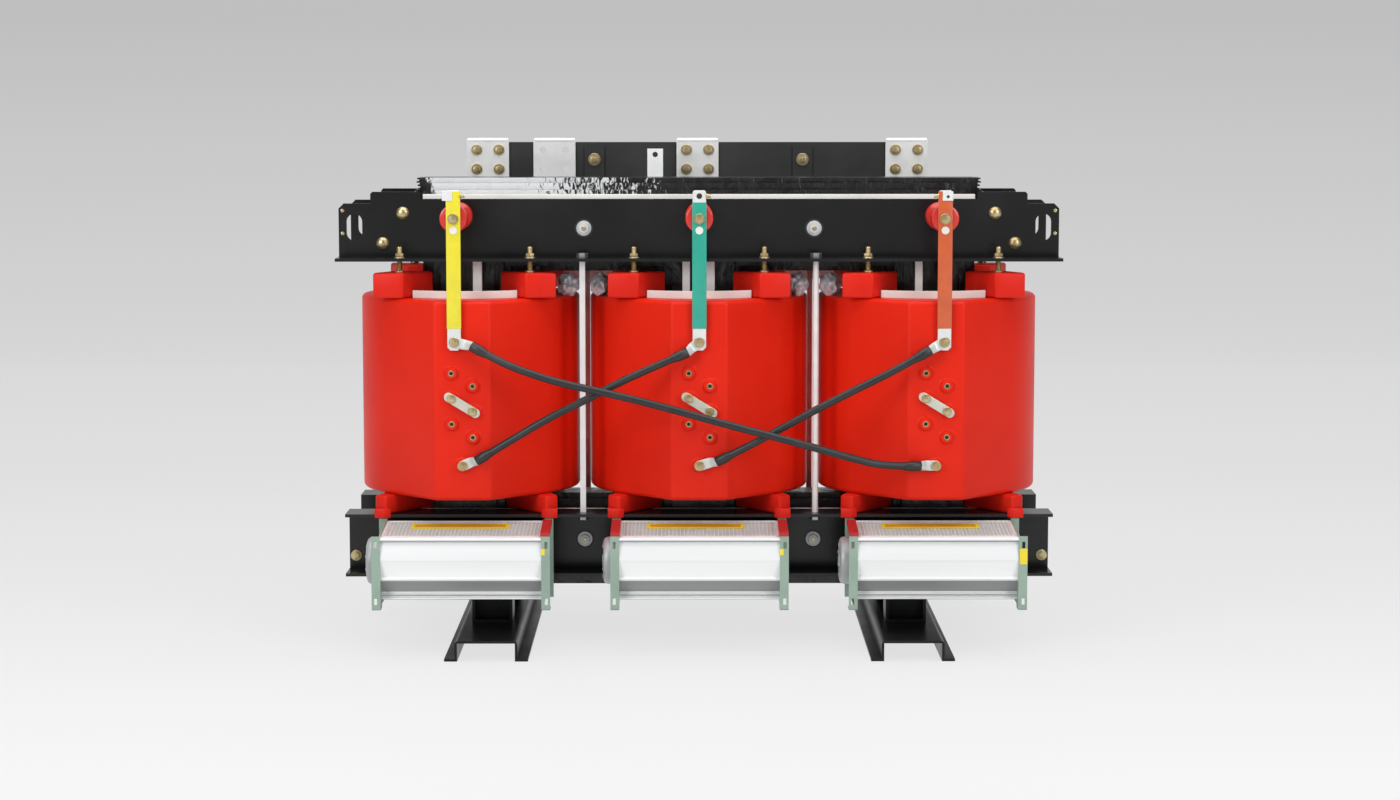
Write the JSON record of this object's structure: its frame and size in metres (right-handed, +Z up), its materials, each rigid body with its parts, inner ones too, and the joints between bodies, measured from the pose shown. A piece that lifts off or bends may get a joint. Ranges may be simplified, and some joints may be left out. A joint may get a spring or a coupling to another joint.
{
  "type": "dry type transformer",
  "caption": "Three-phase cast-resin dry type transformer with red coils, black core clamps, delta cables, post insulators, base rails and cross-flow cooling fans.",
  "frame": {"origin": "on the floor, at the centre of the overall length and width", "axes": "+X along the core from phase A to phase C, -Y is the high voltage side, +Z up"},
  "size_m": [1.426, 0.74, 0.99],
  "materials": {
    "core": "gloss",
    "red_resin": "satin",
    "lv_winding": "satin",
    "black_paint": "gloss",
    "white_board": "matte",
    "yellow_sleeve": "satin",
    "green_sleeve": "satin",
    "red_sleeve": "satin",
    "cable_jacket": "satin",
    "yellow_zinc": "satin",
    "tinned": "satin",
    "fan_aluminium": "satin",
    "fan_plate": "satin",
    "motor_grey": "satin"
  },
  "bodies": {
    "transformer": {"air_strips": "white_board", "beam_brackets": "black_paint", "bottom_yoke": "core", "cable_lugs": "tinned", "core_leg_a": "core", "core_leg_b": "core", "core_leg_c": "core", "delta_cable_1": "cable_jacket", "delta_cable_2": "cable_jacket", "delta_cable_3": "cable_jacket", "earthing_tab": "tinned", "end_bolts": "yellow_zinc", "fan_end_plates": "fan_plate", "fan_grilles": "fan_aluminium", "fan_housings": "fan_aluminium", "fan_motors": "motor_grey", "foot_pedestals": "black_paint", "hv_coil_a": "red_resin", "hv_coil_b": "red_resin", "hv_coil_c": "red_resin", "hv_terminal_bolts": "yellow_zinc", "insulator_bolts": "yellow_zinc", "lower_blocks": "red_resin", "lower_clamp_front": "black_paint", "lower_clamp_rear": "black_paint", "lv_coil_a": "lv_winding", "lv_coil_b": "lv_winding", "lv_coil_c": "lv_winding", "lv_neutral_bar": "tinned", "lv_support_beam": "black_paint", "lv_terminal_a": "tinned", "lv_terminal_b": "tinned", "lv_terminal_c": "tinned", "phase_bar_a": "yellow_sleeve", "phase_bar_b": "green_sleeve", "phase_bar_c": "red_sleeve", "post_insulators": "red_resin", "pressing_bolts": "yellow_zinc", "rail_left": "black_paint", "rail_right": "black_paint", "tap_inserts": "yellow_zinc", "tap_link_bolts": "yellow_zinc", "tap_links": "tinned", "terminal_bolts": "yellow_zinc", "tie_rod_nuts": "tinned", "tie_rods": "tinned", "top_yoke": "core", "upper_blocks": "red_resin", "upper_clamp_front": "black_paint", "upper_clamp_rear": "black_paint", "yoke_boards": "white_board", "yoke_bolts": "tinned"},
    "fan_rotor_1_body": {"fan_rotor_1": "fan_aluminium"},
    "fan_rotor_2_body": {"fan_rotor_2": "fan_aluminium"},
    "fan_rotor_3_body": {"fan_rotor_3": "fan_aluminium"},
    "fan_rotor_4_body": {"fan_rotor_4": "fan_aluminium"},
    "fan_rotor_5_body": {"fan_rotor_5": "fan_aluminium"},
    "fan_rotor_6_body": {"fan_rotor_6": "fan_aluminium"}
  },
  "joints": [
    {"name": "fan_rotor_1_spin", "type": "hinge", "parent": "transformer", "child": "fan_rotor_1_body", "pos_m": [-0.46, -0.255, 0.178], "axis": [1, 0, 0], "continuous": true},
    {"name": "fan_rotor_2_spin", "type": "hinge", "parent": "transformer", "child": "fan_rotor_2_body", "pos_m": [0, -0.255, 0.178], "axis": [1, 0, 0], "continuous": true},
    {"name": "fan_rotor_3_spin", "type": "hinge", "parent": "transformer", "child": "fan_rotor_3_body", "pos_m": [0.46, -0.255, 0.178], "axis": [1, 0, 0], "continuous": true},
    {"name": "fan_rotor_4_spin", "type": "hinge", "parent": "transformer", "child": "fan_rotor_4_body", "pos_m": [-0.46, 0.255, 0.178], "axis": [1, 0, 0], "continuous": true},
    {"name": "fan_rotor_5_spin", "type": "hinge", "parent": "transformer", "child": "fan_rotor_5_body", "pos_m": [0, 0.255, 0.178], "axis": [1, 0, 0], "continuous": true},
    {"name": "fan_rotor_6_spin", "type": "hinge", "parent": "transformer", "child": "fan_rotor_6_body", "pos_m": [0.46, 0.255, 0.178], "axis": [1, 0, 0], "continuous": true}
  ]
}
